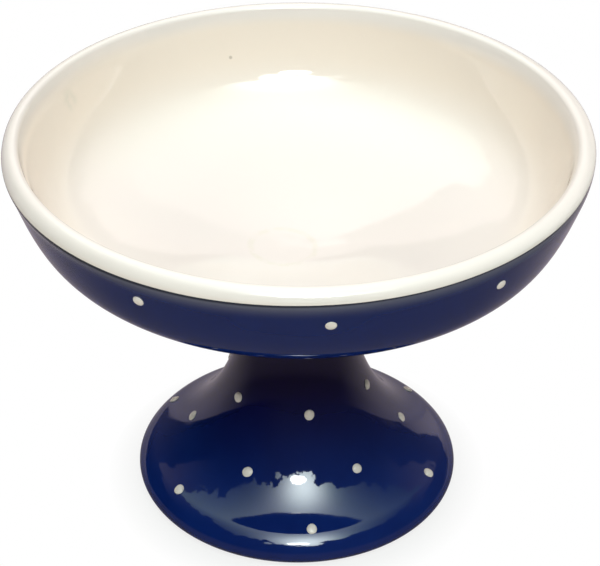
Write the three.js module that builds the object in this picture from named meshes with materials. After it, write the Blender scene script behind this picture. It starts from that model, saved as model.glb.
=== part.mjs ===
// Footed candy dish in glazed earthenware: a shallow thrown bowl luted to a hollow flared foot,
// cream glaze inside and over the rim, blue glaze outside, and rows of raised cream slip dots.
// Millimetres, +Z up, origin on the table at the centre of the standing ring, front towards -Y.
import * as THREE from "three";

const degrees = THREE.MathUtils.degToRad;

// Bowl
const HEIGHT = 131;
const RIM_DIAMETER = 180;
const RIM_OUTER_ROUND = 3.6; // from the rim's top to the cream edge
const RIM_INNER_ROUND = 1.9; // from the rim's top to the inside
const WALL_ROUND = 8; // under the cream edge, where the wall turns to its lean
const BOWL_DEPTH = 47; // from the rim's top to where the neck's fillet meets the underside
const WALL_LEAN = degrees(18.5); // from upright
const UNDERSIDE_SLOPE = degrees(12); // rise from the neck outwards
const FLOOR_THICKNESS = 5.5; // glaze to glaze, where the neck carries the floor
const BOWL_FULLNESS = 1; // share of the way to the corner of wall and underside that pulls the turn

// Foot
const FOOT_DIAMETER = 106;
const FOOT_WALL = 6; // from the glaze to the hollow
const NECK_DIAMETER = 36;
const FOOT_SWEEP = 0.63; // share of the way to the corner of neck and flange that pulls the flare
const FLANGE_SLOPE = degrees(30); // where the hollow flare turns over into the flange's round shoulder
const SHOULDER_RADIUS = 15;
const SHOULDER_END = degrees(54); // slope at which the shoulder runs into the flange's tighter edge
const FLANGE_EDGE_RADIUS = 4.2;
const RING_INNER_DIAMETER = 85;
const RING_OUTER_DIAMETER = 95;
const RING_HEIGHT = 1; // the flange's rounded edge clears the table by this much
const WIPED_ANGLE = degrees(-62); // the glaze stops at this turn of the flange's edge, above the table

// Joint between the bowl and the foot
const JOINT_DIAMETER = 44; // outer edge of the fillet on the bowl's underside
const FILLET_HEIGHT = 14;
const FILLET_SWEEP = 0.75; // share of the way to the corner of underside and neck that pulls the fillet
const SLIP_THICKNESS = 1;
const COIL_LEAST = 0.5; // the smoothed coil stops where it gets thinner than this

// Skins and clearances
const GLAZE = 0.6;
const SEAT_GAP = 0.15; // between layers that lie on each other
const DOT_GAP = 0.3; // between a dot's flat base and the curved glaze under it

// Dots of slip
const DOT_DIAMETER = 3.4;
const DOT_RISE = 0.6;
// Each row has its distance along the glaze, and its dots' bearings in degrees from the front to the right.
// The bowl's row is measured down from the cream edge, the foot's rows up the flare from the shoulder.
const BOWL_ROW = {
  name: "bowl_dot",
  along: 8.8,
  bearings: [-30, 6, 40.5, 84, 122.5, 161, 200, 238.5, 277],
};
const FOOT_ROWS = [
  { name: "flange_dot", along: 0.5, bearings: [-116, -54, 6, 67, 125.5, 184] },
  { name: "slope_dot", along: 16.5, bearings: [-87.5, -27, 34, 87.5, 149, 211] },
  { name: "neck_dot", along: 37.2, bearings: [-113, -53, 9.5, 73, 130, 188] },
];

// Facets
const SEGMENTS = 48;
const RIM_STEPS = 3;
const ROUND_STEPS = 2;
const WALL_STEPS = 10;
const FLOOR_STEPS = 2;
const FLARE_STEPS = 10;
const SHOULDER_STEPS = 2;
const FILLET_STEPS = 4;
const COIL_STEPS = 10;
const EDGE_STEPS = 2;
const DOT_SIDES = 10;
const DOME_STEPS = 2;

// Finishes
const finish = (color, roughness) => new THREE.MeshStandardMaterial({ color, roughness, metalness: 0 });
const CLAY = finish("#d9c7a8", 0.85);
const SLIP = finish("#cdb994", 0.9);
const CREAM_GLAZE = finish("#f1e6d0", 0.12);
const BLUE_GLAZE = finish("#14255c", 0.1);
const CREAM_DOT = finish("#e6dcc6", 0.2);

const dish = new THREE.Group();
const point = (r, z) => new THREE.Vector2(r, z);
const heading = (angle) => point(Math.cos(angle), Math.sin(angle));

// A cubic curve whose handles lie a share of the way to the corner where the two end lines cross.
function swept(start, startWay, end, endWay, share) {
  const gap = end.clone().sub(start);
  const startReach = gap.cross(endWay) / startWay.cross(endWay);
  const corner = start.clone().addScaledVector(startWay, startReach);
  const handle = (tip) => tip.clone().lerp(corner, share);
  return new THREE.CubicBezierCurve(start, handle(start), handle(end), end);
}

// An arc from one angle to another, angles measured from outwards towards up.
function arc(centre, radius, from, to) {
  return new THREE.EllipseCurve(centre.x, centre.y, radius, radius, from, to, to < from);
}

// Where a curve passes and its normal: left of travel for side 1, right of travel for side -1.
function station(curve, t, side) {
  const tangent = curve.getTangent(t);
  return { at: curve.getPoint(t), normal: point(-tangent.y, tangent.x).multiplyScalar(side) };
}

// Stations along a curve, from a share of it to its end.
function trace(curve, steps, side, from = 0) {
  return Array.from({ length: steps + 1 }, (_, i) => station(curve, from + (1 - from) * (i / steps), side));
}

// Traces that follow on from each other, without their doubled ends.
const chained = (...traces) => traces.flatMap((piece, i) => (i ? piece.slice(1) : piece));

// The points of a trace, moved into the clay by a depth.
const sunk = (traced, depth) => traced.map(({ at, normal }) => at.clone().addScaledVector(normal, -depth));

// The first points of an outward line, cut off at a radius.
function within(points, radius) {
  const next = points.findIndex((p) => p.x > radius);
  if (next < 1) return points;
  const last = points[next - 1];
  const share = (radius - last.x) / (points[next].x - last.x);
  return [...points.slice(0, next), last.clone().lerp(points[next], share)];
}

function add(name, geometry, material) {
  const mesh = new THREE.Mesh(geometry, material);
  mesh.name = name;
  dish.add(mesh);
}

// A solid turned about Z; its profile runs clockwise with radius to the right and height up.
function turn(name, profile, material) {
  const closed = profile[0].x === 0 ? profile : [...profile, profile[0]];
  const geometry = new THREE.LatheGeometry(closed.toReversed(), SEGMENTS);
  geometry.rotateX(Math.PI / 2);
  add(name, geometry, material);
}

// Glazed surfaces of the bowl
const rimOuter = point(RIM_DIAMETER / 2 - RIM_OUTER_ROUND, HEIGHT - RIM_OUTER_ROUND);
const rimInner = point(rimOuter.x, HEIGHT - RIM_INNER_ROUND);
const downWall = heading(-Math.PI / 2 - WALL_LEAN);
const inUnderside = heading(Math.PI + UNDERSIDE_SLOPE);
const creamEdge = point(RIM_DIAMETER / 2, rimOuter.y);
const innerLip = rimInner.clone().addScaledVector(heading(Math.PI - WALL_LEAN), RIM_INNER_ROUND);
const jointEdge = point(JOINT_DIAMETER / 2, HEIGHT - BOWL_DEPTH);
const floorEdge = point(jointEdge.x, jointEdge.y + FLOOR_THICKNESS / Math.cos(UNDERSIDE_SLOPE));
const floorDip = (floorEdge.x / 2) * Math.tan(UNDERSIDE_SLOPE);

const wallRound = arc(point(creamEdge.x - WALL_ROUND, creamEdge.y), WALL_ROUND, 0, -WALL_LEAN);
const outerWall = swept(wallRound.getPoint(1), downWall, jointEdge, inUnderside, BOWL_FULLNESS);
const innerWall = swept(innerLip, downWall, floorEdge, inUnderside, BOWL_FULLNESS);
const floorMiddle = point(0, floorEdge.y - floorDip);
const floorHandle = point(floorEdge.x / 2, floorMiddle.y);
const floorCurve = new THREE.QuadraticBezierCurve(floorEdge, floorHandle, floorMiddle);

const liningTrace = chained(
  trace(arc(rimOuter, RIM_OUTER_ROUND, 0, Math.PI / 2), RIM_STEPS, -1),
  trace(arc(rimInner, RIM_INNER_ROUND, Math.PI / 2, Math.PI - WALL_LEAN), RIM_STEPS, -1),
  trace(innerWall, WALL_STEPS, -1),
  trace(floorCurve, FLOOR_STEPS, -1),
);

// Glazed surface of the foot
const neckRadius = NECK_DIAMETER / 2;
const waist = point(neckRadius, jointEdge.y - FILLET_HEIGHT);
const edgeCentre = point(FOOT_DIAMETER / 2 - FLANGE_EDGE_RADIUS, RING_HEIGHT + FLANGE_EDGE_RADIUS);
const shoulderTurn = Math.PI / 2 - FLANGE_SLOPE;
const edgeTurn = Math.PI / 2 - SHOULDER_END;
const shoulderInset = FLANGE_EDGE_RADIUS - SHOULDER_RADIUS;
const shoulderCentre = edgeCentre.clone().addScaledVector(heading(edgeTurn), shoulderInset);
const shoulderTop = shoulderCentre.clone().addScaledVector(heading(shoulderTurn), SHOULDER_RADIUS);

const fillet = swept(jointEdge, inUnderside, waist, point(0, 1), FILLET_SWEEP);
const flare = swept(waist, point(0, -1), shoulderTop, heading(Math.PI - FLANGE_SLOPE), FOOT_SWEEP);
const flareTrace = trace(flare, FLARE_STEPS, 1);
const glazedEdge = chained(
  trace(arc(shoulderCentre, SHOULDER_RADIUS, shoulderTurn, edgeTurn), SHOULDER_STEPS, 1),
  trace(arc(edgeCentre, FLANGE_EDGE_RADIUS, edgeTurn, 0), EDGE_STEPS, 1),
  trace(arc(edgeCentre, FLANGE_EDGE_RADIUS, 0, WIPED_ANGLE), EDGE_STEPS, 1),
);
const bareEdge = trace(arc(edgeCentre, FLANGE_EDGE_RADIUS, WIPED_ANGLE, -Math.PI / 2), 1, 1);

// Clay of the bowl, flat over the neck's bore
const clayDepth = GLAZE + SEAT_GAP;
const wallTrace = trace(outerWall, WALL_STEPS, 1);
const bowlOutside = sunk(chained(trace(wallRound, ROUND_STEPS, 1), wallTrace), clayDepth);
const undersideEdge = bowlOutside.at(-1);
const undersideAt = (r) => undersideEdge.y - (undersideEdge.x - r) * Math.tan(UNDERSIDE_SLOPE);
const boreRadius = neckRadius - FOOT_WALL;
const boreRoof = [point(boreRadius, undersideAt(boreRadius)), point(0, undersideAt(boreRadius))];
turn("bowl_body", [...sunk(liningTrace, clayDepth).reverse(), ...bowlOutside.slice(1), ...boreRoof], CLAY);

// Cream glaze, one skin from the middle of the floor up the wall and over the rim
turn("bowl_lining_glaze", [...sunk(liningTrace, 0).reverse(), ...sunk(liningTrace, GLAZE)], CREAM_GLAZE);

// Blue glaze of the bowl, from just under the cream edge to the fillet
const bowlBlue = chained(trace(wallRound, ROUND_STEPS, 1, SEAT_GAP / wallRound.getLength()), wallTrace);
turn("bowl_outer_glaze", [...sunk(bowlBlue, 0), ...sunk(bowlBlue, GLAZE).reverse()], BLUE_GLAZE);

// Clay of the foot: neck, flare, flange and standing ring round a hollow open below
const neckClay = neckRadius - clayDepth;
const slipTop = (r) => undersideAt(r) - SEAT_GAP;
const slipBottom = (r) => slipTop(r) - SLIP_THICKNESS;
const neckTop = (r) => slipBottom(r) - SEAT_GAP;
const ringInner = point(RING_INNER_DIAMETER / 2, 0);
const ringOuter = point(RING_OUTER_DIAMETER / 2, 0);
const hollow = within(sunk(flareTrace, FOOT_WALL), ringInner.x);
turn(
  "foot_body",
  [
    point(neckClay, neckTop(neckClay)),
    ...sunk(chained(flareTrace, glazedEdge, bareEdge), clayDepth),
    ringOuter,
    ringInner,
    ...hollow.reverse(),
    point(boreRadius, neckTop(boreRadius)),
  ],
  CLAY,
);

// Layer of slip that joins the neck's top to the bowl
turn(
  "luting_slip",
  [
    point(boreRadius, slipTop(boreRadius)),
    point(neckClay, slipTop(neckClay)),
    point(neckClay, slipBottom(neckClay)),
    point(boreRadius, slipBottom(boreRadius)),
  ],
  SLIP,
);

// Coil of clay smoothed round the joint to make the fillet
const coilInner = neckClay + SEAT_GAP;
const coilFace = sunk(trace(fillet, COIL_STEPS, 1), clayDepth).filter(
  (p) => p.x > coilInner + COIL_LEAST && p.y < slipTop(p.x) - COIL_LEAST,
);
turn(
  "joint_coil",
  [
    point(coilInner, slipTop(coilInner)),
    point(coilFace[0].x, slipTop(coilFace[0].x)),
    ...coilFace,
    point(coilInner, coilFace.at(-1).y),
  ],
  CLAY,
);

// Blue glaze of the foot, from the fillet down to the wiped line
const footBlue = chained(
  trace(fillet, FILLET_STEPS, 1, SEAT_GAP / fillet.getLength()),
  flareTrace,
  glazedEdge,
);
turn("foot_outer_glaze", [...sunk(footBlue, 0), ...sunk(footBlue, GLAZE).reverse()], BLUE_GLAZE);

// A dot: a low dome standing on a station of the glaze at a bearing
function addDot(name, { at, normal }, bearing) {
  const outline = new THREE.EllipseCurve(0, 0, DOT_DIAMETER / 2, DOT_RISE, 0, Math.PI / 2);
  const dome = outline.getPoints(DOME_STEPS);
  dome.at(-1).x = 0;
  const geometry = new THREE.LatheGeometry([point(0, 0), ...dome], DOT_SIDES);
  const outwards = (r, z) => new THREE.Vector3(r * Math.sin(bearing), -r * Math.cos(bearing), z);
  const stand = outwards(normal.x, normal.y);
  const foot = outwards(at.x, at.y).addScaledVector(stand, DOT_GAP);
  geometry.applyQuaternion(new THREE.Quaternion().setFromUnitVectors(new THREE.Vector3(0, 1, 0), stand));
  geometry.translate(foot.x, foot.y, foot.z);
  add(name, geometry, CREAM_DOT);
}

function addRow({ name, bearings }, place) {
  bearings.forEach((bearing, i) => addDot(`${name}_${i + 1}`, place, degrees(bearing)));
}

const downToRow = BOWL_ROW.along - wallRound.getLength();
addRow(BOWL_ROW, station(outerWall, outerWall.getUtoTmapping(0, downToRow), 1));
for (const row of FOOT_ROWS) {
  addRow(row, station(flare, flare.getUtoTmapping(0, flare.getLength() - row.along), 1));
}

export default dish;
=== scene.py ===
"""Footed candy dish of glazed earthenware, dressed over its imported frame. Metres, +Z up, front towards -Y."""
import functools
import math
from typing import NamedTuple

import bmesh
import bpy
from bpy.props import FloatProperty, FloatVectorProperty, IntProperty, PointerProperty
from mathutils import Matrix, Vector


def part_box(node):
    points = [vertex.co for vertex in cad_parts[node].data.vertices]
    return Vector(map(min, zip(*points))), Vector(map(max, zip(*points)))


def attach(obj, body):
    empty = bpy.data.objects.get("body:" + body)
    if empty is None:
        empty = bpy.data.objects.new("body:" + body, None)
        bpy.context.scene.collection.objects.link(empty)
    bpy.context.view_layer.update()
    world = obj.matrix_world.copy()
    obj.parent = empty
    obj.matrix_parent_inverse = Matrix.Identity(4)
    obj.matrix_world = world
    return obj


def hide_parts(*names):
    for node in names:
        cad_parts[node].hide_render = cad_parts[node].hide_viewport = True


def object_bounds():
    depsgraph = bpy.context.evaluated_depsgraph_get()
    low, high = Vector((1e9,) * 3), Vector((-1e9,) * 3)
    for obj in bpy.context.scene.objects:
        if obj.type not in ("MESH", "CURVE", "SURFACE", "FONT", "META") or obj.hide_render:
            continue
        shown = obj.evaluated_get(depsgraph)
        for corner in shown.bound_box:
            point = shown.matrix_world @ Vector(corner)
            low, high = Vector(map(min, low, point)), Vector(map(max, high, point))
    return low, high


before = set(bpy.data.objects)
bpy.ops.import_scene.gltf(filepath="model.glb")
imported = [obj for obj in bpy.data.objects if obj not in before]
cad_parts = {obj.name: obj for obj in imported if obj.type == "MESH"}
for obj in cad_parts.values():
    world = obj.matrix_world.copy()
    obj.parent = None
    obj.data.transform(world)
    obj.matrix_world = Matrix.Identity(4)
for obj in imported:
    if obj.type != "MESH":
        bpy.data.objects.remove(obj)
CAD_LOW, CAD_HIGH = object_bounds()
FOOT_LOW, FOOT_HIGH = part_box("foot_outer_glaze")

bl_info = {
    "name": "Footed Candy Dish",
    "version": (1, 0, 0),
    "blender": (4, 5, 0),
    "location": "View3D > Sidebar > Candy Dish",
    "description": "Makes a glazed candy dish with a cream lining, a blue outside and raised dots",
    "category": "Add Mesh",
}


# Sizes and colours that a user would change

def length(name, description, default):
    return FloatProperty(name=name, description=description, default=default, unit="LENGTH", precision=5)


def angle(name, description, default):
    return FloatProperty(name=name, description=description, default=math.radians(default), subtype="ANGLE")


def share(name, description, default):
    return FloatProperty(name=name, description=description, default=default, min=0.0, max=1.5,
                         subtype="FACTOR")


def colour(name, description, default):
    return FloatVectorProperty(name=name, description=description, default=default, min=0.0, max=1.0,
                               subtype="COLOR")


class BowlSizes(bpy.types.PropertyGroup):
    height: length("Height", "Table to the top of the rim", CAD_HIGH.z)
    rim_diameter: length("Rim diameter", "Across the rim, outside", CAD_HIGH.x - CAD_LOW.x)
    rim_outer_round: length("Rim's outer round", "Round of the rim from its top to the cream edge", 0.0036)
    rim_inner_round: length("Rim's inner round", "Round of the rim from its top to the inside", 0.0019)
    wall_round: length("Wall round", "Round of the wall under the cream edge", 0.008)
    depth: length("Depth", "Rim's top to the edge of the neck's fillet", 0.047)
    wall_lean: angle("Wall lean", "Lean of the wall from upright", 18.5)
    underside_slope: angle("Underside slope", "Rise of the underside from the neck outwards", 12.0)
    floor_thickness: length("Floor thickness", "Glaze to glaze over the neck", 0.0055)
    fullness: share("Fullness", "How far the turn from wall to underside fills its corner", 1.0)
    rim_warp: length("Rim warp", "Rise and fall of the rim from the kiln", 0.0003)
    warp_turn: angle("Warp turn", "Turn from the right at which the warped rim is highest", 34.3775)
    cream_tilt: length("Cream tilt", "Rise of the cream edge to the right, and its fall to the left", 0.0012)


class FootSizes(bpy.types.PropertyGroup):
    diameter: length("Diameter", "Across the flange", FOOT_HIGH.x - FOOT_LOW.x)
    wall: length("Wall", "Glaze to the hollow", 0.006)
    neck_diameter: length("Neck diameter", "Across the neck's waist", 0.036)
    sweep: share("Sweep", "How far the flare fills the corner of neck and flange", 0.63)
    flange_slope: angle("Flange slope", "Slope where the flare turns over into the shoulder", 30.0)
    shoulder_radius: length("Shoulder radius", "Round of the flange's shoulder", 0.015)
    shoulder_end: angle("Shoulder end", "Slope where the shoulder runs into the edge", 54.0)
    edge_radius: length("Edge radius", "Round of the flange's edge", 0.0042)
    ring_inner_diameter: length("Ring inner diameter", "Inside of the standing ring", 0.085)
    ring_outer_diameter: length("Ring outer diameter", "Outside of the standing ring", 0.095)
    ring_height: length("Ring height", "Table to the lowest of the flange's edge", 0.001)
    wiped_angle: angle("Wiped angle", "Turn of the edge at which the glaze stops", -62.0)
    joint_diameter: length("Joint diameter", "Edge of the fillet under the bowl", 0.044)
    fillet_height: length("Fillet height", "Height of the fillet on the neck", 0.014)
    fillet_sweep: share("Fillet sweep", "How far the fillet fills its corner", 0.75)
    clay_round: length("Clay round", "Round of the bare clay's corners", 0.0007)
    throwing_depth: length("Throwing depth", "Depth of the throwing rings in the clay", 0.0003)
    throwing_pitch: length("Throwing pitch", "From one throwing ring to the next", 0.004)


class GlazeSizes(bpy.types.PropertyGroup):
    thickness: length("Thickness", "Thickness of a coat of glaze", 0.0006)
    clay_depth: length("Clay depth", "Glazed surface down to the clay", 0.00075)
    cream_step: length("Cream step", "Gap between the cream edge and the blue", 0.00015)
    swell: length("Swell", "How far a glazed surface swells and sinks", 0.0001)
    segments: IntProperty(name="Segments", description="Facets round a turned piece", default=192, min=24)


class DotSizes(bpy.types.PropertyGroup):
    diameter: length("Diameter", "Across a dot", 0.0034)
    rise: length("Rise", "Height of a dot over the glaze", 0.0007)
    unevenness: length("Unevenness", "How far a dot's outline wanders", 0.00025)
    seed: IntProperty(name="Seed", description="Choice of the dots' small differences", default=7)


class Finishes(bpy.types.PropertyGroup):
    blue: colour("Blue", "Blue glaze where it is thick", (0.0034, 0.0142, 0.106))
    blue_light: colour("Light blue", "Blue glaze where it is thinner", (0.0060, 0.0250, 0.158))
    blue_wall: colour("Blue on the bowl", "Blue of the bowl's leaning wall", (0.0045, 0.0150, 0.086))
    # Painted shade: this darker, violet blue stands for the shade of the bowl over the neck, and for the glaze
    # gathered thickest there
    blue_neck_shade: colour("Deep blue", "Blue glaze round the neck, where it is thickest", (0.0070, 0.0026, 0.034))
    # Grey of glaze thinned where it runs off an edge; under the cream edge this grey is also a painted
    # reflection of the bright floor
    blue_thin_and_reflection: colour("Thin blue", "Blue glaze that has run off an edge", (0.19, 0.187, 0.20))
    # Dark line: painted shade under the cream edge, where the cream stands proud of the blue, on blue glaze
    # gathered along that edge
    blue_line_shade: colour("Dark line", "Blue glaze gathered along the cream edge", (0.003, 0.004, 0.012))
    cream: colour("Cream", "Cream glaze on the rim and low on the wall", (0.91, 0.82, 0.765))
    # Warm cream: the wall's cream, warmer in tone and brighter as painted light that makes up for the light the
    # wall lacks; the dots' warm patches use it too
    cream_warm_and_lit: colour("Warm cream", "Cream glaze on the wall, where it is thinner", (0.97, 0.82, 0.69))
    # Pooled cream: the glaze pooled on the bowl's floor, given a dimmer cream as painted shade that offsets the
    # stronger light on the floor
    cream_pool_and_shade: colour("Pooled cream", "Cream glaze pooled on the bowl's floor", (0.762, 0.690, 0.655))
    stain: colour("Stain", "Faint marks in the cream glaze", (0.70, 0.65, 0.54))
    speck: colour("Speck", "Iron specks in the cream glaze", (0.25, 0.17, 0.10))
    dot: colour("Dot", "Slip of the dots", (0.80, 0.72, 0.65))
    clay: colour("Clay", "Bare fired clay", (0.60, 0.47, 0.31))
    clay_dark: colour("Dark clay", "Bare clay where it is toasted", (0.43, 0.30, 0.18))
    slip: colour("Slip", "Joining slip", (0.52, 0.40, 0.26))


class StageSettings(bpy.types.PropertyGroup):
    distance: length("Camera distance", "Camera to the point that it aims at", 0.640)
    elevation: angle("Camera elevation", "How far the camera looks down", 33.76)
    roll: angle("Camera roll", "Tilt of the camera", 0.335)
    aim_height: length("Aim height", "Height of the point that the camera aims at", 0.07454)
    aim_side: length("Aim side", "Offset of that point to the right", 0.00072)
    lens: FloatProperty(name="Lens", description="Focal length in millimetres", default=120.27, unit="CAMERA")
    lamp_width: length("Lamp width", "Across the softbox", 0.28)
    lamp_height: length("Lamp height", "From top to bottom of the softbox", 0.11)
    lamp_distance: length("Lamp distance", "Softbox to the point that it aims at", 1.2)
    lamp_aim: length("Lamp aim", "Height of that point over the table", 0.05)
    lamp_side: share("Lamp side", "Softbox's offset to the right, as a share of its distance", 0.02)
    lamp_elevation: angle("Lamp elevation", "How high the softbox stands over that point", 43.5)
    lamp_power: FloatProperty(name="Lamp power", description="Power of the softbox", default=1.35,
                              unit="POWER")
    floor: colour("Floor", "Floor under the dish", (0.80, 0.77, 0.73))


# Outlines: points are (radius, height), and these are the lengths that count as none
ON_AXIS = 1e-6
DOUBLED = 1e-7
LEAST_STEP = 5e-5
WELD_DISTANCE = 1e-6


def point(radius, height):
    return Vector((radius, height))


def heading(turn):
    return point(math.cos(turn), math.sin(turn))


def cubic(start, start_handle, end_handle, end, steps):
    def at(t):
        s = 1.0 - t
        return s ** 3 * start + 3 * s * s * t * start_handle + 3 * s * t * t * end_handle + t ** 3 * end
    return [at(i / steps) for i in range(steps + 1)]


def quadratic(start, handle, end, steps):
    return cubic(start, start.lerp(handle, 2 / 3), end.lerp(handle, 2 / 3), end, steps)


def swept(start, start_way, end, end_way, fill, steps):
    """A curve whose handles lie a share of the way to the corner where its two end lines cross."""
    gap = end - start
    reach = (gap.x * end_way.y - gap.y * end_way.x) / (start_way.x * end_way.y - start_way.y * end_way.x)
    corner = start + start_way * reach
    return cubic(start, start.lerp(corner, fill), end.lerp(corner, fill), end, steps)


def arc(centre, radius, start, end, steps):
    return [centre + heading(start + (end - start) * i / steps) * radius for i in range(steps + 1)]


def chained(*lines):
    """Lines that follow on from each other, without their doubled ends."""
    return [p for k, line in enumerate(lines) for p in (line[1:] if k else line)]


def sunk(line, depth, side=1):
    """A line moved to the right of its travel, or to the left for side -1."""
    moved = []
    for k, p in enumerate(line):
        way = (line[min(k + 1, len(line) - 1)] - line[max(k - 1, 0)]).normalized()
        moved.append(p + point(way.y, -way.x) * depth * side)
    return moved


def coat(line, depth, side=1, cap_steps=6):
    """The closed outline of a coat under a line, with rounded ends; an end on the axis stays open."""
    back = sunk(line, depth, side)

    def cap(p, q, way):
        if min(p.x, q.x) < ON_AXIS:
            return []
        middle, half = (p + q) / 2, (q - p) / 2
        turns = [math.pi * k / cap_steps for k in range(1, cap_steps)]
        return [middle - half * math.cos(t) + way * half.length * math.sin(t) for t in turns]

    end = cap(line[-1], back[-1], (line[-1] - line[-2]).normalized())
    start = cap(back[0], line[0], (line[0] - line[1]).normalized())
    return [*line, *end, *reversed(back), *start]


def softened(line, radius, least_turn=0.35, most_used=0.45, steps=5):
    """A closed outline with its corners rounded, within a share of each side that meets there."""
    shares = [k / steps for k in range(steps + 1)]
    made = []
    for k, p in enumerate(line):
        before, after = line[k - 1] - p, line[(k + 1) % len(line)] - p
        doubled = min(before.length, after.length) < DOUBLED
        if doubled or p.x < ON_AXIS or math.pi - before.angle(after) < least_turn:
            made.append(p)
            continue
        reach = min(radius, before.length * most_used, after.length * most_used)
        first, last = p + before.normalized() * reach, p + after.normalized() * reach
        made.extend(first.lerp(p, t).lerp(p.lerp(last, t), t) for t in shares)
    return made


def within(line, radius):
    """The first points of an outward line, cut off at a radius."""
    kept = []
    for p in line:
        if p.x > radius:
            last = kept[-1]
            kept.append(last.lerp(p, (radius - last.x) / (p.x - last.x)))
            break
        kept.append(p)
    return kept


def station(line, along):
    """The point a distance along a line, and the angle of its left-hand normal."""
    for p, q in zip(line, line[1:]):
        step = (q - p).length
        if along <= step:
            way = (q - p).normalized()
            return p.lerp(q, along / step), math.atan2(way.x, -way.y)
        along -= step
    raise ValueError("a row of dots lies beyond its surface")


class DishOutline:
    """The glazed surfaces of the dish as lines, worked out from the sizes."""

    def __init__(self, scene):
        bowl, foot = scene.dish_bowl, scene.dish_foot
        widest, outer, inner = bowl.rim_diameter / 2, bowl.rim_outer_round, bowl.rim_inner_round
        rim_outer = point(widest - outer, bowl.height - outer)
        rim_inner = point(widest - outer, bowl.height - inner)
        down = heading(-math.pi / 2 - bowl.wall_lean)
        inwards = heading(math.pi + bowl.underside_slope)
        self.joint = point(foot.joint_diameter / 2, bowl.height - bowl.depth)
        floor_edge = self.joint + point(0, bowl.floor_thickness / math.cos(bowl.underside_slope))
        floor_middle = point(0, floor_edge.y - floor_edge.x / 2 * math.tan(bowl.underside_slope))
        floor_handle = point(floor_edge.x / 2, floor_middle.y)
        inner_lip = rim_inner + heading(math.pi - bowl.wall_lean) * inner
        self.cream_edge = point(widest, rim_outer.y)
        wall_centre = point(widest - bowl.wall_round, rim_outer.y)
        turn_in = arc(wall_centre, bowl.wall_round, 0.0, -bowl.wall_lean, steps=10)
        self.outer_wall = chained(
            turn_in,
            swept(turn_in[-1], down, self.joint, inwards, bowl.fullness, steps=90),
        )
        self.lining = chained(
            arc(rim_outer, outer, 0.0, math.pi / 2, steps=18),
            arc(rim_inner, inner, math.pi / 2, math.pi - bowl.wall_lean, steps=14),
            swept(inner_lip, down, floor_edge, inwards, bowl.fullness, steps=90),
            quadratic(floor_edge, floor_handle, floor_middle, steps=16),
        )
        waist = point(foot.neck_diameter / 2, self.joint.y - foot.fillet_height)
        edge_centre = point(foot.diameter / 2 - foot.edge_radius, foot.ring_height + foot.edge_radius)
        shoulder_turn, edge_turn = math.pi / 2 - foot.flange_slope, math.pi / 2 - foot.shoulder_end
        shoulder_centre = edge_centre + heading(edge_turn) * (foot.edge_radius - foot.shoulder_radius)
        shoulder_top = shoulder_centre + heading(shoulder_turn) * foot.shoulder_radius
        up_flange = heading(math.pi - foot.flange_slope)
        self.fillet = swept(self.joint, inwards, waist, point(0, 1), foot.fillet_sweep, steps=24)
        self.flare = swept(waist, point(0, -1), shoulder_top, up_flange, foot.sweep, steps=100)
        self.edge = chained(
            arc(shoulder_centre, foot.shoulder_radius, shoulder_turn, edge_turn, steps=20),
            arc(edge_centre, foot.edge_radius, edge_turn, foot.wiped_angle, steps=30),
        )
        self.bare_edge = arc(edge_centre, foot.edge_radius, foot.wiped_angle, -math.pi / 2, steps=8)


# Node trees

def wire(tree, kind, feeds=None, **settings):
    """Adds a node, sets it up, and feeds its sockets from values or other nodes' outputs."""
    node = tree.nodes.new(kind)
    for name, value in settings.items():
        setattr(node, name, value)
    for key, feed in (feeds or {}).items():
        if isinstance(feed, bpy.types.NodeSocket):
            tree.links.new(feed, node.inputs[key])
        else:
            node.inputs[key].default_value = feed
    return node


def reckon(tree, operation, first, second=0.0):
    return wire(tree, "ShaderNodeMath", {0: first, 1: second}, operation=operation).outputs[0]


def plus(tree, first, second):
    return reckon(tree, "ADD", first, second)


def minus(tree, first, second):
    return reckon(tree, "SUBTRACT", first, second)


def times(tree, first, second):
    return reckon(tree, "MULTIPLY", first, second)


def total(tree, *levels):
    return functools.reduce(lambda first, second: plus(tree, first, second), levels)


def vector_reckon(tree, operation, first, second=(0.0, 0.0, 0.0)):
    node = wire(tree, "ShaderNodeVectorMath", {0: first, 1: second}, operation=operation)
    return node.outputs["Value" if operation in ("LENGTH", "DOT_PRODUCT") else "Vector"]


def scaled(tree, vector, factor):
    return wire(tree, "ShaderNodeVectorMath", {0: vector, "Scale": factor}, operation="SCALE").outputs[0]


def parts_of(tree, vector):
    return wire(tree, "ShaderNodeSeparateXYZ", {0: vector}).outputs


def level_part(tree, vector):
    return vector_reckon(tree, "MULTIPLY", vector, (1.0, 1.0, 0.0))


def noise(tree, place, scale, detail=3.0, roughness=0.5):
    feeds = {"Vector": place, "Scale": scale, "Detail": detail, "Roughness": roughness}
    return wire(tree, "ShaderNodeTexNoise", feeds).outputs[0]


NOISE_MIDDLE = 0.5


def centred(tree, value):
    """A noise's value, which lies round its middle, moved to lie round nought."""
    return minus(tree, value, NOISE_MIDDLE)


def ramp(tree, value, start, full):
    """Rises smoothly from nought at the start to one where it is full."""
    feeds = {"Value": value, "From Min": start, "From Max": full}
    return wire(tree, "ShaderNodeMapRange", feeds, interpolation_type="SMOOTHSTEP").outputs[0]


def between(tree, factor, first, second):
    node = wire(tree, "ShaderNodeMix", data_type="RGBA")
    # For colours, inputs 0, 6 and 7 are the factor and the two colours, and output 2 is the mix
    for socket, feed in zip((node.inputs[0], node.inputs[6], node.inputs[7]), (factor, first, second)):
        if isinstance(feed, bpy.types.NodeSocket):
            tree.links.new(feed, socket)
        else:
            socket.default_value = feed
    return node.outputs[2]


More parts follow.
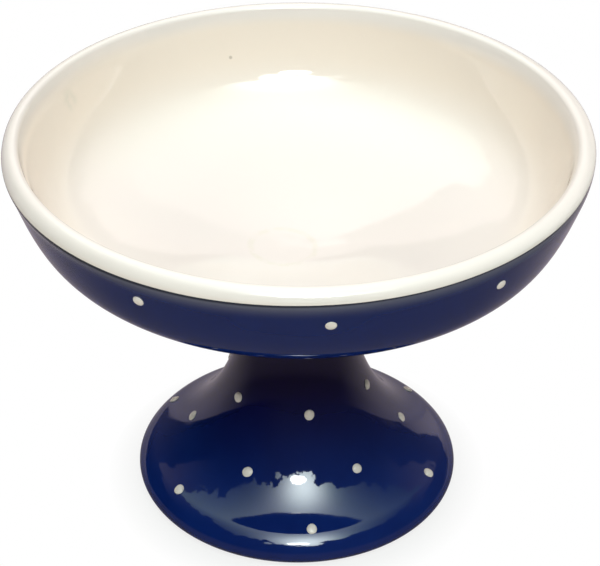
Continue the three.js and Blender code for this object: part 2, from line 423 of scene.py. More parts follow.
def new_tree(name, inputs):
    tree = bpy.data.node_groups.new(name, "GeometryNodeTree")
    tree.interface.new_socket("Geometry", in_out="INPUT", socket_type="NodeSocketGeometry")
    for label, kind in inputs:
        tree.interface.new_socket(label, in_out="INPUT", socket_type=kind)
    tree.interface.new_socket("Geometry", in_out="OUTPUT", socket_type="NodeSocketGeometry")
    return tree, tree.nodes.new("NodeGroupInput").outputs


def close_tree(tree, geometry, material):
    smooth = wire(tree, "GeometryNodeSetShadeSmooth", {"Geometry": geometry}).outputs[0]
    real = wire(tree, "GeometryNodeRealizeInstances", {"Geometry": smooth}).outputs[0]
    dressed = wire(tree, "GeometryNodeSetMaterial", {"Geometry": real, "Material": material}).outputs[0]
    wire(tree, "NodeGroupOutput", {"Geometry": dressed})


# Marks of kiln, glazing and wheel: waves, a power of the radius, metres and patches per metre
WARP_WAVES = 2.0
WARP_GROWTH = 3.0
TILT_REACH = 0.004
SWELL_SCALE = 28.0
THROWING_STARTS = 0.004, 0.014


def turned_tree():
    """Turns an outline about the axis, with the kiln's warp, the cream edge's tilt and throwing rings."""
    tree, given = new_tree("Turned form", [
        ("Segments", "NodeSocketInt"), ("Warp", "NodeSocketFloat"), ("Warp Radius", "NodeSocketFloat"),
        ("Warp Turn", "NodeSocketFloat"), ("Edge Tilt", "NodeSocketFloat"),
        ("Edge Height", "NodeSocketFloat"), ("Throwing Depth", "NodeSocketFloat"),
        ("Throwing Pitch", "NodeSocketFloat"), ("Swell", "NodeSocketFloat"), ("Seed", "NodeSocketFloat"),
        ("Material", "NodeSocketMaterial"),
    ])
    outline = given["Geometry"]
    count = wire(tree, "GeometryNodeAttributeDomainSize", {"Geometry": outline}).outputs["Point Count"]
    columns = plus(tree, given["Segments"], 1.0)
    sides = {"Size X": 1.0, "Size Y": 1.0, "Vertices X": columns, "Vertices Y": count}
    grid = wire(tree, "GeometryNodeMeshGrid", sides).outputs["Mesh"]
    index = wire(tree, "GeometryNodeInputIndex").outputs[0]
    row = reckon(tree, "MODULO", index, count)
    column = reckon(tree, "FLOOR", reckon(tree, "DIVIDE", index, count))
    here = wire(tree, "GeometryNodeInputPosition").outputs[0]
    sample = {"Geometry": outline, "Value": here, "Index": row}
    on_outline = wire(tree, "GeometryNodeSampleIndex", sample, data_type="FLOAT_VECTOR", domain="POINT")
    spot = parts_of(tree, on_outline.outputs[0])
    turn = times(tree, reckon(tree, "DIVIDE", column, given["Segments"]), 2 * math.pi)
    from_warp = times(tree, minus(tree, turn, given["Warp Turn"]), WARP_WAVES)
    outwards = reckon(tree, "DIVIDE", spot["X"], given["Warp Radius"])
    warp = times(tree, reckon(tree, "POWER", outwards, WARP_GROWTH), given["Warp"])
    lift = times(tree, warp, reckon(tree, "COSINE", from_warp))
    from_edge = reckon(tree, "ABSOLUTE", minus(tree, spot["Z"], given["Edge Height"]))
    tilt = times(tree, given["Edge Tilt"], reckon(tree, "COSINE", turn))
    slide = times(tree, tilt, ramp(tree, from_edge, TILT_REACH, 0.0))
    place = wire(tree, "ShaderNodeCombineXYZ", {
        "X": times(tree, spot["X"], reckon(tree, "COSINE", turn)),
        "Y": times(tree, spot["X"], reckon(tree, "SINE", turn)),
        "Z": total(tree, spot["Z"], lift, slide),
    }).outputs[0]
    placed = wire(tree, "GeometryNodeSetPosition", {"Geometry": grid, "Position": place}).outputs[0]
    weld = {"Geometry": placed, "Distance": WELD_DISTANCE}
    closed = wire(tree, "GeometryNodeMergeByDistance", weld).outputs[0]
    height = parts_of(tree, here)["Z"]
    travel = plus(tree, vector_reckon(tree, "LENGTH", level_part(tree, here)), height)
    pitches = plus(tree, reckon(tree, "DIVIDE", travel, given["Throwing Pitch"]), given["Seed"])
    ring_feeds = {"W": pitches, "Scale": 1.0, "Detail": 1.0}
    rings = wire(tree, "ShaderNodeTexNoise", ring_feeds, noise_dimensions="1D").outputs[0]
    ring = times(tree, centred(tree, rings), ramp(tree, height, *THROWING_STARTS))
    swell_feeds = {"Vector": here, "W": given["Seed"], "Scale": SWELL_SCALE, "Detail": 1.0}
    swell = wire(tree, "ShaderNodeTexNoise", swell_feeds, noise_dimensions="4D").outputs[0]
    push = plus(tree, times(tree, ring, given["Throwing Depth"]),
                times(tree, centred(tree, swell), given["Swell"]))
    offset = scaled(tree, wire(tree, "GeometryNodeInputNormal").outputs[0], push)
    thrown = wire(tree, "GeometryNodeSetPosition", {"Geometry": closed, "Offset": offset}).outputs[0]
    close_tree(tree, thrown, given["Material"])
    return tree


# Dots are balls of unit size, scaled to twice their rise because half of each lies in the glaze
UNIT_BALL = {"Segments": 28, "Rings": 14, "Radius": 0.5}
DOT_WIDTHS = 0.94, 1.08
DOT_HEIGHTS = 1.8, 2.2
DOT_WANDER_SCALE = 420.0


def dot_row_tree():
    """Raised dots on the points of a row round the axis, each a little different."""
    tree, given = new_tree("Row of dots", [
        ("Face", "NodeSocketFloat"), ("Diameter", "NodeSocketFloat"), ("Rise", "NodeSocketFloat"),
        ("Unevenness", "NodeSocketFloat"), ("Seed", "NodeSocketInt"), ("Material", "NodeSocketMaterial"),
    ])
    here = wire(tree, "GeometryNodeInputPosition").outputs[0]
    out = vector_reckon(tree, "NORMALIZE", level_part(tree, here))
    face_up = wire(tree, "ShaderNodeCombineXYZ", {"Z": reckon(tree, "SINE", given["Face"])}).outputs[0]
    face = vector_reckon(tree, "ADD", scaled(tree, out, reckon(tree, "COSINE", given["Face"])), face_up)
    stand = wire(tree, "FunctionNodeAlignRotationToVector", {"Vector": face}, axis="Z").outputs[0]
    ball = wire(tree, "GeometryNodeMeshUVSphere", UNIT_BALL).outputs[0]

    def spread(size, limits, draw):
        seed = plus(tree, given["Seed"], float(draw))
        node = wire(tree, "FunctionNodeRandomValue", {"Seed": seed}, data_type="FLOAT")
        # For plain numbers, inputs 2 and 3 are the limits, and output 1 is the draw
        node.inputs[2].default_value, node.inputs[3].default_value = limits
        return times(tree, size, node.outputs[1])

    size = wire(tree, "ShaderNodeCombineXYZ", {
        "X": spread(given["Diameter"], DOT_WIDTHS, draw=1),
        "Y": spread(given["Diameter"], DOT_WIDTHS, draw=2),
        "Z": spread(given["Rise"], DOT_HEIGHTS, draw=3),
    }).outputs[0]
    row = wire(tree, "GeometryNodeInstanceOnPoints",
               {"Points": given["Geometry"], "Instance": ball, "Rotation": stand, "Scale": size}).outputs[0]
    real = wire(tree, "GeometryNodeRealizeInstances", {"Geometry": row}).outputs[0]
    wander_feeds = {"Vector": here, "Scale": DOT_WANDER_SCALE, "Detail": 0.0}
    wander = wire(tree, "ShaderNodeTexNoise", wander_feeds).outputs["Color"]
    from_middle = vector_reckon(tree, "SUBTRACT", wander, [NOISE_MIDDLE] * 3)
    offset = scaled(tree, from_middle, given["Unevenness"])
    uneven = wire(tree, "GeometryNodeSetPosition", {"Geometry": real, "Offset": offset}).outputs[0]
    close_tree(tree, uneven, given["Material"])
    return tree


def shared(pool, name, make):
    return pool.get(name) or make()


# Finishes: scales are patches per metre, and a pair is where a tone starts and where it is full

GLAZE_MIRROR = 0.8
GLOSS_START = -1.0
PEEL_RIPPLE = 0.1
PEEL_DEPTH = 0.0004


def solid(rgb):
    return (*rgb, 1.0)


def new_finish(name, mirror):
    """A new material: its tree, its shader and the place on the object."""
    material = bpy.data.materials.new(name)
    material.use_nodes = True
    tree = material.node_tree
    shader = tree.nodes["Principled BSDF"]
    shader.inputs["Specular IOR Level"].default_value = mirror
    place = wire(tree, "ShaderNodeTexCoord").outputs["Object"]
    return material, tree, shader, place


def patches(tree, place, scale, detail, start, full):
    return ramp(tree, noise(tree, place, scale, detail), start, full)


def tinted(tree, body, tone, amount, strength=1.0):
    """A body colour mixed with another tone, by an amount times a strength."""
    return between(tree, times(tree, amount, strength), body, solid(tone))


def bumped(tree, shader, height, strength, distance):
    node = wire(tree, "ShaderNodeBump", {"Height": height, "Strength": strength, "Distance": distance})
    tree.links.new(node.outputs[0], shader.inputs["Normal"])


def glossed(tree, shader, place, scale, far):
    """A roughness of a few hundredths that wanders: the low end of a ramp that a noise never climbs."""
    tree.links.new(ramp(tree, noise(tree, place, scale), GLOSS_START, far), shader.inputs["Roughness"])


def peeled(tree, shader, place, waves, ripples, strength):
    """The slight unevenness of a glaze: wide waves with a fine ripple on them."""
    ripple = times(tree, noise(tree, place, ripples, detail=2.0), PEEL_RIPPLE)
    height = plus(tree, noise(tree, place, waves, detail=1.0), ripple)
    bumped(tree, shader, height, strength, PEEL_DEPTH)


# Blue glaze: heights over the table, over the joint, and over the cream edge
# Painted shade round the neck: heights over the table where it rises, and over the joint where it clears
NECK_SHADE_RISES = 0.012, 0.055
FOOT_THINS = 0.0036, 0.0020
NECK_SHADE_CLEARS = 0.022, 0.009
WALL_STARTS = 0.008, 0.025
# Grey band under the cream edge, part thinned glaze and part painted reflection: where it starts and how
# sharply it fades
EDGE_RUN_AND_REFLECTION_STARTS = -0.008, 0.001
EDGE_BAND_POWER = 2.2
EDGE_LINE_SHADE_STARTS = -0.0011, -0.0005


def blue_glaze():
    """Deep blue gloss: mottled where it pools, thinned and grey where it runs off an edge, with a painted
    reflection in the grey band under the cream edge, a dark line of painted shade just under the cream, and
    painted shade round the neck under the bowl.
    """
    scene = bpy.context.scene
    tones, bowl, edge = scene.dish_finishes, scene.dish_bowl, DishOutline(scene).cream_edge
    material, tree, shader, place = new_finish("Blue glaze", GLAZE_MIRROR)
    axes = parts_of(tree, place)
    height = axes["Z"]
    over_joint = minus(tree, height, bowl.height - bowl.depth)
    tilt = times(tree, axes["X"], bowl.cream_tilt / edge.x)
    over_edge = minus(tree, minus(tree, height, tilt), edge.y)
    pooled = patches(tree, place, scale=45.0, detail=4.0, start=0.35, full=0.7)
    mottle = patches(tree, place, scale=700.0, detail=5.0, start=0.55, full=0.8)
    # Painted shade: the blue darkens up the neck to the bowl's underside, where the bowl shades it
    neck_shade = times(tree, ramp(tree, height, *NECK_SHADE_RISES), ramp(tree, over_joint, *NECK_SHADE_CLEARS))
    # Painted reflection: a grey band under the cream edge for the bright floor that the top of the bowl
    # mirrors, on glaze thinned at the edge
    edge_run_and_reflection = reckon(tree, "POWER", ramp(tree, over_edge, *EDGE_RUN_AND_REFLECTION_STARTS), EDGE_BAND_POWER)
    foot_run = ramp(tree, height, *FOOT_THINS)
    body = tinted(tree, solid(tones.blue), tones.blue_light, pooled, strength=0.35)
    body = tinted(tree, body, tones.blue_light, mottle, strength=0.2)
    body = tinted(tree, body, tones.blue_neck_shade, neck_shade)
    body = tinted(tree, body, tones.blue_wall, ramp(tree, over_joint, *WALL_STARTS), strength=0.8)
    body = tinted(tree, body, tones.blue_thin_and_reflection, foot_run, strength=0.45)
    body = tinted(tree, body, tones.blue_thin_and_reflection, edge_run_and_reflection, strength=0.75)
    # Painted shade: a dark line just under the cream edge
    body = tinted(tree, body, tones.blue_line_shade, ramp(tree, over_edge, *EDGE_LINE_SHADE_STARTS), strength=0.75)
    tree.links.new(body, shader.inputs["Base Color"])
    glossed(tree, shader, place, scale=120.0, far=11.0)
    peeled(tree, shader, place, waves=90.0, ripples=800.0, strength=0.12)
    return material


# Cream glaze: depths under the rim's top, and the marks' places, strengths and fading with distance
# The floor's cream is dimmer and the wall's brighter, painted light that evens out how the light falls in the
# bowl
POOL_AND_SHADE_STARTS = 0.024, 0.039
WALL_BAND_STARTS = 0.002, 0.007
WALL_BAND_ENDS = 0.034, 0.014
WALL_WARMTH_AND_LIGHT = 0.8
CLOUD_WARMTH = 0.08
RING_STARTS = 0.031, 0.036
RING_MIDDLE = (-0.0047, 0.0006, 0.0)
RING_RADIUS = 0.0103
RING_FADES = 0.0016, 0.0003
RING_STRENGTH = 0.40
SMUDGE_PLACE = (-0.0735, 0.0355, 0.1210)
SMUDGE_FADES = 0.0050, 0.0005
SMUDGE_STRENGTH = 0.45
SPECK_PLACE = (-0.0233, 0.0761, 0.1156)
SPECK_FADES = 0.0008, 0.0003
SPECK_STRENGTH = 0.45

# Scattered specks: cells per metre, the draw that a cell must beat to have one, and their fade in cells
SCATTER_CELLS = 60.0
SCATTER_DRAW = 0.8
SCATTER_FADES = 0.022, 0.008
SCATTER_STRENGTH = 0.35


def cream_glaze():
    """Cream gloss, warmer and brighter on the wall and dimmer on the floor, partly as painted light that evens
    out how the light falls in the bowl, with a few specks, a smudge and the faint ring of a stacking prop.
    """
    scene = bpy.context.scene
    tones = scene.dish_finishes
    material, tree, shader, place = new_finish("Cream glaze", GLAZE_MIRROR)
    under_rim = minus(tree, scene.dish_bowl.height, parts_of(tree, place)["Z"])
    # Painted light, partly: the wall band is brightened and warmed and the floor dimmed, to even out how the
    # light falls inside the bowl
    wall = times(tree, ramp(tree, under_rim, *WALL_BAND_STARTS), ramp(tree, under_rim, *WALL_BAND_ENDS))
    clouds = patches(tree, place, scale=30.0, detail=4.0, start=0.3, full=0.75)
    warmed_and_lit = plus(tree, times(tree, wall, WALL_WARMTH_AND_LIGHT), times(tree, clouds, CLOUD_WARMTH))
    body = tinted(tree, solid(tones.cream), tones.cream_pool_and_shade, ramp(tree, under_rim, *POOL_AND_SHADE_STARTS))
    body = tinted(tree, body, tones.cream_warm_and_lit, warmed_and_lit)

    def away_from(spot):
        return vector_reckon(tree, "SUBTRACT", place, spot)

    def faded(offset, limits):
        return ramp(tree, vector_reckon(tree, "LENGTH", offset), *limits)

    from_middle = vector_reckon(tree, "LENGTH", level_part(tree, away_from(RING_MIDDLE)))
    from_ring = reckon(tree, "ABSOLUTE", minus(tree, from_middle, RING_RADIUS))
    ring = times(tree, ramp(tree, from_ring, *RING_FADES), ramp(tree, under_rim, *RING_STARTS))
    smudge = faded(away_from(SMUDGE_PLACE), SMUDGE_FADES)
    worn = patches(tree, place, scale=260.0, detail=3.0, start=0.3, full=0.6)
    marks = plus(tree, times(tree, ring, RING_STRENGTH), times(tree, smudge, SMUDGE_STRENGTH))
    body = tinted(tree, body, tones.stain, times(tree, marks, worn))
    cells = wire(tree, "ShaderNodeTexVoronoi", {"Vector": place, "Scale": SCATTER_CELLS}).outputs
    draw = wire(tree, "ShaderNodeSeparateColor", {0: cells["Color"]}).outputs[0]
    chosen = reckon(tree, "GREATER_THAN", draw, SCATTER_DRAW)
    scattered = times(tree, ramp(tree, cells["Distance"], *SCATTER_FADES), chosen)
    speck = times(tree, faded(away_from(SPECK_PLACE), SPECK_FADES), SPECK_STRENGTH)
    specks = reckon(tree, "MAXIMUM", times(tree, scattered, SCATTER_STRENGTH), speck)
    body = tinted(tree, body, tones.speck, specks)
    tree.links.new(body, shader.inputs["Base Color"])
    glossed(tree, shader, place, scale=150.0, far=15.0)
    peeled(tree, shader, place, waves=70.0, ripples=700.0, strength=0.15)
    return material


def dot_slip():
    """Cream slip under gloss, a little warmer in patches."""
    tones = bpy.context.scene.dish_finishes
    material, tree, shader, place = new_finish("Dot slip", mirror=0.5)
    clouds = patches(tree, place, scale=500.0, detail=3.0, start=0.4, full=0.8)
    body = tinted(tree, solid(tones.dot), tones.cream_warm_and_lit, clouds, strength=0.4)
    tree.links.new(body, shader.inputs["Base Color"])
    shader.inputs["Roughness"].default_value = 0.18
    bumped(tree, shader, noise(tree, place, scale=900.0, detail=2.0), strength=0.3, distance=0.0002)
    return material


def bare_clay(name, tone):
    """Bare fired clay: buff, toasted in patches and gritty."""
    dark = bpy.context.scene.dish_finishes.clay_dark
    material, tree, shader, place = new_finish(name, mirror=0.3)
    toast = patches(tree, place, scale=40.0, detail=5.0, start=0.4, full=0.75)
    grit = patches(tree, place, scale=1500.0, detail=2.0, start=0.62, full=0.75)
    body = tinted(tree, solid(tone), dark, toast, strength=0.6)
    body = tinted(tree, body, dark, grit, strength=0.5)
    tree.links.new(body, shader.inputs["Base Color"])
    shader.inputs["Roughness"].default_value = 0.85
    bumped(tree, shader, noise(tree, place, scale=1200.0, detail=4.0), strength=0.5, distance=0.0004)
    return material


def clay_finish():
    tone = bpy.context.scene.dish_finishes.clay
    return shared(bpy.data.materials, "Bare clay", lambda: bare_clay("Bare clay", tone))


def slip_finish():
    tone = bpy.context.scene.dish_finishes.slip
    return shared(bpy.data.materials, "Joining slip", lambda: bare_clay("Joining slip", tone))


def blue_finish():
    return shared(bpy.data.materials, "Blue glaze", blue_glaze)


def cream_finish():
    return shared(bpy.data.materials, "Cream glaze", cream_glaze)


def dot_finish():
    return shared(bpy.data.materials, "Dot slip", dot_slip)


# Pieces

def grow(name, mesh, tree, values):
    """An object whose node tree has been turned into a plain mesh that points outwards."""
    piece = bpy.data.objects.new(name, mesh)
    bpy.context.scene.collection.objects.link(piece)
    modifier = piece.modifiers.new(tree.name, "NODES")
    modifier.node_group = tree
    sockets = {s.name: s.identifier for s in tree.interface.items_tree if s.in_out == "INPUT"}
    for label, value in values.items():
        modifier[sockets[label]] = value
    evaluated = piece.evaluated_get(bpy.context.evaluated_depsgraph_get())
    made = bpy.data.meshes.new_from_object(evaluated)
    piece.modifiers.remove(modifier)
    made.name = name
    piece.data = made
    shape = bmesh.new()
    shape.from_mesh(made)
    bmesh.ops.recalc_face_normals(shape, faces=shape.faces)
    shape.to_mesh(made)
    shape.free()
    return piece


def place_piece(piece, nodes):
    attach(piece, "root")
    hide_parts(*nodes)


def turned(name, outline, material, seed, warp=0.0, tilt=0.0, swell=0.0, throwing_depth=0.0):
    """A piece turned from a closed outline, or from one that starts and ends on the axis."""
    scene = bpy.context.scene
    points = outline if outline[0].x < ON_AXIS else [*outline, outline[0]]
    mesh = bpy.data.meshes.new(name + " outline")
    mesh.from_pydata([(p.x, 0.0, p.y) for p in points], [(k, k + 1) for k in range(len(points) - 1)], [])
    tree = shared(bpy.data.node_groups, "Turned form", turned_tree)
    return grow(name, mesh, tree, {
        "Segments": scene.dish_glaze.segments, "Warp": warp, "Warp Radius": scene.dish_bowl.rim_diameter / 2,
        "Warp Turn": scene.dish_bowl.warp_turn, "Edge Tilt": tilt,
        "Edge Height": DishOutline(scene).cream_edge.y, "Throwing Depth": throwing_depth,
        "Throwing Pitch": scene.dish_foot.throwing_pitch, "Swell": swell, "Seed": seed, "Material": material,
    })


def dot_row(name, node, place, bearings, seed):
    """A row of dots that stand on the glaze at bearings, in degrees from the front to the right."""
    sizes = bpy.context.scene.dish_dots
    at, face = place
    turns = [math.radians(bearing) for bearing in bearings]
    mesh = bpy.data.meshes.new(name + " places")
    mesh.from_pydata([(at.x * math.sin(t), -at.x * math.cos(t), at.y) for t in turns], [], [])
    tree = shared(bpy.data.node_groups, "Row of dots", dot_row_tree)
    piece = grow(name, mesh, tree, {
        "Face": face, "Diameter": sizes.diameter, "Rise": sizes.rise, "Unevenness": sizes.unevenness,
        "Seed": sizes.seed + seed, "Material": dot_finish(),
    })
    place_piece(piece, [f"{node}_{k + 1}" for k in range(len(bearings))])


class DISH_OT_hidden_clay(bpy.types.Operator):
    """Gives the hidden clay, coil and slip their finishes"""
    bl_idname = "dish.hidden_clay"
    bl_label = "Hidden clay"

    def execute(self, context):
        finishes = {"bowl_body": clay_finish(), "joint_coil": clay_finish(), "luting_slip": slip_finish()}
        for node, material in finishes.items():
            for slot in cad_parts[node].material_slots:
                slot.material = material
        return {"FINISHED"}


class DISH_OT_foot_clay(bpy.types.Operator):
    """Makes the hollow clay foot with its standing ring"""
    bl_idname = "dish.foot_clay"
    bl_label = "Foot clay"

    def execute(self, context):
        scene = context.scene
        line, foot = DishOutline(scene), scene.dish_foot
        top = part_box("foot_body")[1].z
        ring_inner = point(foot.ring_inner_diameter / 2, 0.0)
        ring_outer = point(foot.ring_outer_diameter / 2, 0.0)
        outside = sunk(chained(line.flare, line.edge, line.bare_edge), scene.dish_glaze.clay_depth)
        hollow = within(sunk(line.flare, foot.wall), ring_inner.x)
        neck_out, neck_in = outside[0].x, hollow[0].x
        inner_top = top - (neck_out - neck_in) * math.tan(scene.dish_bowl.underside_slope)
        corners = [point(neck_out, top), *outside, ring_outer, ring_inner, *reversed(hollow),
                   point(neck_in, inner_top)]
        piece = turned("foot_clay", softened(corners, foot.clay_round), clay_finish(), seed=3.0,
                       throwing_depth=foot.throwing_depth)
        place_piece(piece, ["foot_body"])
        return {"FINISHED"}


class DISH_OT_bowl_lining(bpy.types.Operator):
    """Makes the cream glaze inside the bowl and over its rim"""
    bl_idname = "dish.bowl_lining"
    bl_label = "Cream lining"

    def execute(self, context):
        bowl, glaze = context.scene.dish_bowl, context.scene.dish_glaze
        outline = list(reversed(coat(DishOutline(context.scene).lining, glaze.thickness, side=-1)))
        start = next(k for k, p in enumerate(outline) if p.x < ON_AXIS)
        outline = outline[start:] + outline[:start]
        if outline[1].x < ON_AXIS:
            outline = outline[1:] + outline[:1]
        piece = turned("cream_lining", outline, cream_finish(), seed=1.0, warp=bowl.rim_warp,
                       tilt=bowl.cream_tilt, swell=glaze.swell)
        place_piece(piece, ["bowl_lining_glaze"])
        return {"FINISHED"}


class DISH_OT_bowl_glaze(bpy.types.Operator):
    """Makes the blue glaze on the bowl's outside"""
    bl_idname = "dish.bowl_glaze"
    bl_label = "Blue glaze of the bowl"

    def execute(self, context):
        bowl, glaze = context.scene.dish_bowl, context.scene.dish_glaze
        outer_wall = DishOutline(context.scene).outer_wall
        first = station(outer_wall, glaze.cream_step)[0]
        wall = [first, *(p for p in outer_wall if p.y < first.y - LEAST_STEP)]
        piece = turned("bowl_blue", coat(wall, glaze.thickness), blue_finish(), seed=2.0, warp=bowl.rim_warp,
                       tilt=bowl.cream_tilt, swell=glaze.swell)
        place_piece(piece, ["bowl_outer_glaze"])
        return {"FINISHED"}


class DISH_OT_foot_glaze(bpy.types.Operator):
    """Makes the blue glaze on the foot, from the fillet to the wiped line"""
    bl_idname = "dish.foot_glaze"
    bl_label = "Blue glaze of the foot"

    def execute(self, context):
        line, glaze = DishOutline(context.scene), context.scene.dish_glaze
        surface = chained(line.fillet, line.flare, line.edge)
        piece = turned("foot_blue", coat(surface, glaze.thickness), blue_finish(), seed=4.0,
                       swell=glaze.swell)
        place_piece(piece, ["foot_outer_glaze"])
        return {"FINISHED"}


# Each row has a distance along the glaze, and bearings in degrees from the front to the right.
# The bowl's row is measured down from the cream edge, the foot's rows up the flare from the shoulder.
BOWL_ROW = 0.0088, (-30, 6, 40.5, 84, 122.5, 161, 200, 238.5, 277)
FOOT_ROWS = {
    "flange": (0.0005, (-116, -54, 6, 67, 125.5, 184)),
    "slope": (0.0165, (-87.5, -27, 34, 87.5, 149, 211)),
    "neck": (0.0372, (-113, -53, 9.5, 73, 130, 188)),
}


class DISH_OT_bowl_dots(bpy.types.Operator):
    """Makes the row of dots under the rim"""
    bl_idname = "dish.bowl_dots"
    bl_label = "Dots of the bowl"

    def execute(self, context):
        along, bearings = BOWL_ROW
        place = station(DishOutline(context.scene).outer_wall, along)
        dot_row("bowl_dots", "bowl_dot", place, bearings, seed=10)
        return {"FINISHED"}


class DISH_OT_foot_dots(bpy.types.Operator):
    """Makes the three staggered rows of dots on the foot"""
    bl_idname = "dish.foot_dots"
    bl_label = "Dots of the foot"

    def execute(self, context):
        up_flare = list(reversed(DishOutline(context.scene).flare))
        for k, (row, (along, bearings)) in enumerate(FOOT_ROWS.items()):
            at, face = station(up_flare, along)
            dot_row(f"{row}_dots", f"{row}_dot", (at, face - math.pi), bearings, seed=20 + 10 * k)
        return {"FINISHED"}


# Stage

class Lobe(NamedTuple):
    """A soft light round a bearing from the front to the right and an elevation, both in degrees."""
    bearing: float
    elevation: float
    narrowness: float
    strength: float


WHITE = (1.0, 1.0, 1.0)

# Floor: how bright the glaze mirrors it near, far off and behind the dish, in metres and shares; this is a
# painted reflection, a glow that only mirrored rays see
FLOOR_RADIUS = 6.0
MIRROR_LEAST = 0.04
MIRROR_NEAR = 0.09
NEAR_FADES = 0.30, 0.16
MIRROR_BEHIND = 0.18
BEHIND_STARTS = -0.4, 0.7
FAR_GAIN = 0.9
FAR_STARTS = 0.10, 0.30
MIRROR_TINT = (1.06, 0.92, 1.0)
SHADOW_INNER, SHADOW_OUTER = 0.053, 0.064
SHADOW_WHITENESS = 0.80

# Room: lights that the glaze mirrors, and the lines in sines of elevation at which some of them end
SKY = Lobe(8, 49, 30, 9.8), Lobe(8, 49, 7, 1.45), Lobe(-145, 50, 6, 1.15), Lobe(0, 90, 7, 1.6)
BEHIND_HIGH = Lobe(180, 36, 3, 0.55)
BEHIND_LOW = Lobe(180, 28, 8, 0.35)
GROUND = Lobe(180, 0, 3, 0.32), Lobe(148, 14, 30, 0.42)
FAINT_LIGHT = 0.035
FAINT_STARTS = -0.9, -0.2
RAGGEDNESS = 0.44
SKY_LINE = 0.641, 0.645
SKY_RISE_BESIDE = 0.10
SKY_FALL_BEHIND = 0.07
BEHIND_LINE = 0.441, 0.445
GROUND_LINE = 0.03, -0.03
GROUND_RISE = 0.22
RISE_STARTS = -0.2, 0.45
RISE_ENDS = 0.80, 0.55
FRONT_TINT = (0.88, 1.0, 0.995)
BEHIND_TINT = (1.14, 0.97, 0.96)
BEHIND_TINT_STARTS = -0.1, 0.4
BESIDE_TINT = (0.72, 0.95, 0.85)
BESIDE_TINT_STARTS = 0.2, 0.55


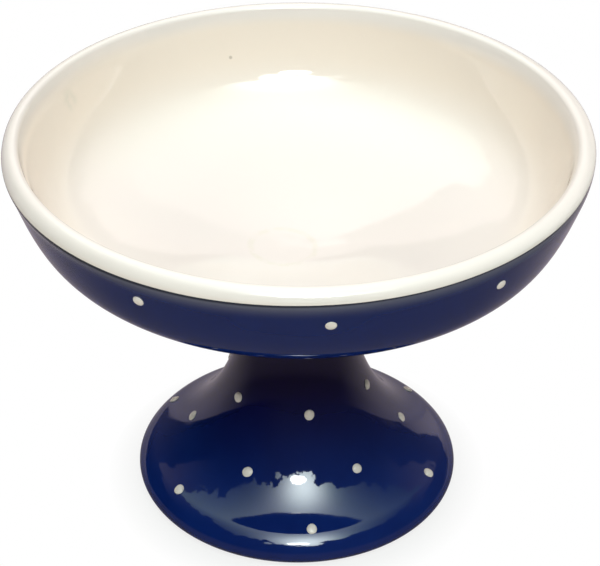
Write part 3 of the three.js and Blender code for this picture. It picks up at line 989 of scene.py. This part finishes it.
class DISH_OT_stage(bpy.types.Operator):
    """Makes the floor, the light and the camera"""
    bl_idname = "dish.stage"
    bl_label = "Stage"

    def floor(self, scene):
        shape = bmesh.new()
        bmesh.ops.create_circle(shape, cap_ends=True, segments=96, radius=FLOOR_RADIUS)
        mesh = bpy.data.meshes.new("floor")
        shape.to_mesh(mesh)
        shape.free()
        floor = bpy.data.objects.new("floor", mesh)
        scene.collection.objects.link(floor)
        mesh.materials.append(self.floor_finish(scene))

    def floor_finish(self, scene):
        """White to the camera but for the foot's shadow, a dim painted reflection in the glaze, and pale to the
        light itself.
        """
        material, tree, shader, place = new_finish("Pale floor", mirror=0.0)
        shader.inputs["Base Color"].default_value = solid(scene.dish_stage.floor)
        shader.inputs["Roughness"].default_value = 0.9
        path = wire(tree, "ShaderNodeLightPath").outputs
        watched, mirrored = path["Is Camera Ray"], path["Is Glossy Ray"]
        reach = vector_reckon(tree, "LENGTH", place)
        backwards = reckon(tree, "DIVIDE", parts_of(tree, place)["Y"], reach)
        near = times(tree, ramp(tree, reach, *NEAR_FADES), MIRROR_NEAR)
        behind = times(tree, ramp(tree, backwards, *BEHIND_STARTS), MIRROR_BEHIND)
        gain = plus(tree, times(tree, ramp(tree, reach, *FAR_STARTS), FAR_GAIN), 1.0)
        # Painted reflection: the brightness that the glaze mirrors, glowing for mirrored rays in place of the
        # floor's own shade
        painted_reflection = total(tree, near, times(tree, behind, gain), MIRROR_LEAST)
        shadow = wire(tree, "ShaderNodeMapRange", {
            "Value": reach, "From Min": SHADOW_INNER, "From Max": SHADOW_OUTER, "To Min": SHADOW_WHITENESS,
        }).outputs[0]
        tint = between(tree, mirrored, solid(WHITE), solid(MIRROR_TINT))
        strength = plus(tree, watched, times(tree, mirrored, painted_reflection))
        glow = wire(tree, "ShaderNodeEmission", {"Color": tint, "Strength": strength}).outputs[0]
        glowing = reckon(tree, "MAXIMUM", times(tree, watched, shadow), mirrored)
        mixed = wire(tree, "ShaderNodeMixShader", {0: glowing, 1: shader.outputs[0], 2: glow})
        tree.links.new(mixed.outputs[0], tree.nodes["Material Output"].inputs["Surface"])
        return material

    def room(self, scene):
        """A world of soft lights, most of them cut off at ragged lines, that is white to the camera."""
        world = bpy.data.worlds.new("Studio")
        scene.world = world
        world.use_nodes = True
        tree = world.node_tree
        way = wire(tree, "ShaderNodeTexCoord").outputs["Generated"]
        axes = parts_of(tree, way)
        sideways = reckon(tree, "ABSOLUTE", axes["X"])

        def lit(lobe):
            turn, rise = math.radians(lobe.bearing), math.radians(lobe.elevation)
            middle = (math.sin(turn) * math.cos(rise), -math.cos(turn) * math.cos(rise), math.sin(rise))
            cosine = reckon(tree, "MAXIMUM", vector_reckon(tree, "DOT_PRODUCT", way, middle), 0.0)
            return times(tree, reckon(tree, "POWER", cosine, lobe.narrowness), lobe.strength)

        def all_lit(lobes):
            return total(tree, *map(lit, lobes))

        rough = noise(tree, way, scale=5.0, detail=6.0, roughness=0.58)
        ragged = times(tree, centred(tree, rough), RAGGEDNESS)
        height = plus(tree, axes["Z"], ragged)
        over_sky_line = minus(tree, height, times(tree, sideways, SKY_RISE_BESIDE))
        over_sky_line = plus(tree, over_sky_line, times(tree, axes["Y"], SKY_FALL_BEHIND))
        above = ramp(tree, over_sky_line, *SKY_LINE)
        behind = times(tree, lit(BEHIND_HIGH), ramp(tree, height, *BEHIND_LINE))
        rise = times(tree, ramp(tree, axes["X"], *RISE_STARTS), ramp(tree, axes["X"], *RISE_ENDS))
        below = ramp(tree, minus(tree, height, times(tree, rise, GROUND_RISE)), *GROUND_LINE)
        faint = times(tree, ramp(tree, axes["X"], *FAINT_STARTS), FAINT_LIGHT)
        level = total(tree, times(tree, above, all_lit(SKY)), behind, lit(BEHIND_LOW),
                      times(tree, below, all_lit(GROUND)), faint)
        backwards = ramp(tree, axes["Y"], *BEHIND_TINT_STARTS)
        tint = between(tree, backwards, solid(FRONT_TINT), solid(BEHIND_TINT))
        beside_sky = times(tree, ramp(tree, sideways, *BESIDE_TINT_STARTS), above)
        tint = between(tree, beside_sky, tint, solid(BESIDE_TINT))
        watched = wire(tree, "ShaderNodeLightPath").outputs["Is Camera Ray"]
        background = tree.nodes["Background"].inputs
        tree.links.new(reckon(tree, "MAXIMUM", watched, level), background["Strength"])
        tree.links.new(between(tree, watched, tint, solid(WHITE)), background["Color"])

    def lamp(self, scene):
        stage = scene.dish_stage
        lamp = bpy.data.lights.new("softbox", "AREA")
        lamp.shape = "ELLIPSE"
        lamp.size, lamp.size_y = stage.lamp_width, stage.lamp_height
        lamp.energy = stage.lamp_power
        box = bpy.data.objects.new("softbox", lamp)
        aim = Vector((0.0, 0.0, stage.lamp_aim))
        away = Vector((stage.lamp_side, -math.cos(stage.lamp_elevation), math.sin(stage.lamp_elevation)))
        box.location = aim + away * stage.lamp_distance
        box.rotation_euler = (aim - box.location).to_track_quat("-Z", "Y").to_euler()
        scene.collection.objects.link(box)

    def camera(self, scene):
        stage = scene.dish_stage
        lens = bpy.data.cameras.new("camera")
        lens.sensor_fit = "HORIZONTAL"
        lens.sensor_width = 36.0
        lens.lens = stage.lens
        lens.clip_start, lens.clip_end = 0.05, 20.0
        camera = bpy.data.objects.new("camera", lens)
        aim = Vector((stage.aim_side, 0.0, stage.aim_height))
        back = Vector((0.0, -math.cos(stage.elevation), math.sin(stage.elevation)))
        camera.location = aim + back * stage.distance
        turn = (-back).to_track_quat("-Z", "Y").to_matrix() @ Matrix.Rotation(stage.roll, 3, "Z")
        camera.rotation_euler = turn.to_euler()
        scene.collection.objects.link(camera)
        scene.camera = camera

    def execute(self, context):
        self.floor(context.scene)
        self.room(context.scene)
        self.lamp(context.scene)
        self.camera(context.scene)
        context.scene.view_settings.view_transform = "Standard"
        return {"FINISHED"}


class DISH_PT_sidebar(bpy.types.Panel):
    """Lists the dish's pieces in the sidebar"""
    bl_idname = "DISH_PT_sidebar"
    bl_label = "Candy Dish"
    bl_space_type = "VIEW_3D"
    bl_region_type = "UI"
    bl_category = "Candy Dish"

    def draw(self, context):
        for operator in OPERATORS:
            self.layout.operator(operator.bl_idname)


GROUPS = {
    "dish_bowl": BowlSizes, "dish_foot": FootSizes, "dish_glaze": GlazeSizes, "dish_dots": DotSizes,
    "dish_finishes": Finishes, "dish_stage": StageSettings,
}
OPERATORS = (
    DISH_OT_stage, DISH_OT_hidden_clay, DISH_OT_foot_clay, DISH_OT_bowl_lining, DISH_OT_bowl_glaze,
    DISH_OT_foot_glaze, DISH_OT_bowl_dots, DISH_OT_foot_dots,
)


def register():
    for made in (*GROUPS.values(), *OPERATORS, DISH_PT_sidebar):
        bpy.utils.register_class(made)
    for name, group in GROUPS.items():
        setattr(bpy.types.Scene, name, PointerProperty(type=group))


def unregister():
    for name in GROUPS:
        delattr(bpy.types.Scene, name)
    for made in (DISH_PT_sidebar, *reversed(OPERATORS), *reversed(GROUPS.values())):
        bpy.utils.unregister_class(made)


def main():
    register()
    bpy.ops.dish.stage()
    bpy.ops.dish.hidden_clay()
    bpy.ops.dish.foot_clay()
    bpy.ops.dish.bowl_lining()
    bpy.ops.dish.bowl_glaze()
    bpy.ops.dish.foot_glaze()
    bpy.ops.dish.bowl_dots()
    bpy.ops.dish.foot_dots()


if __name__ == "__main__":
    main()
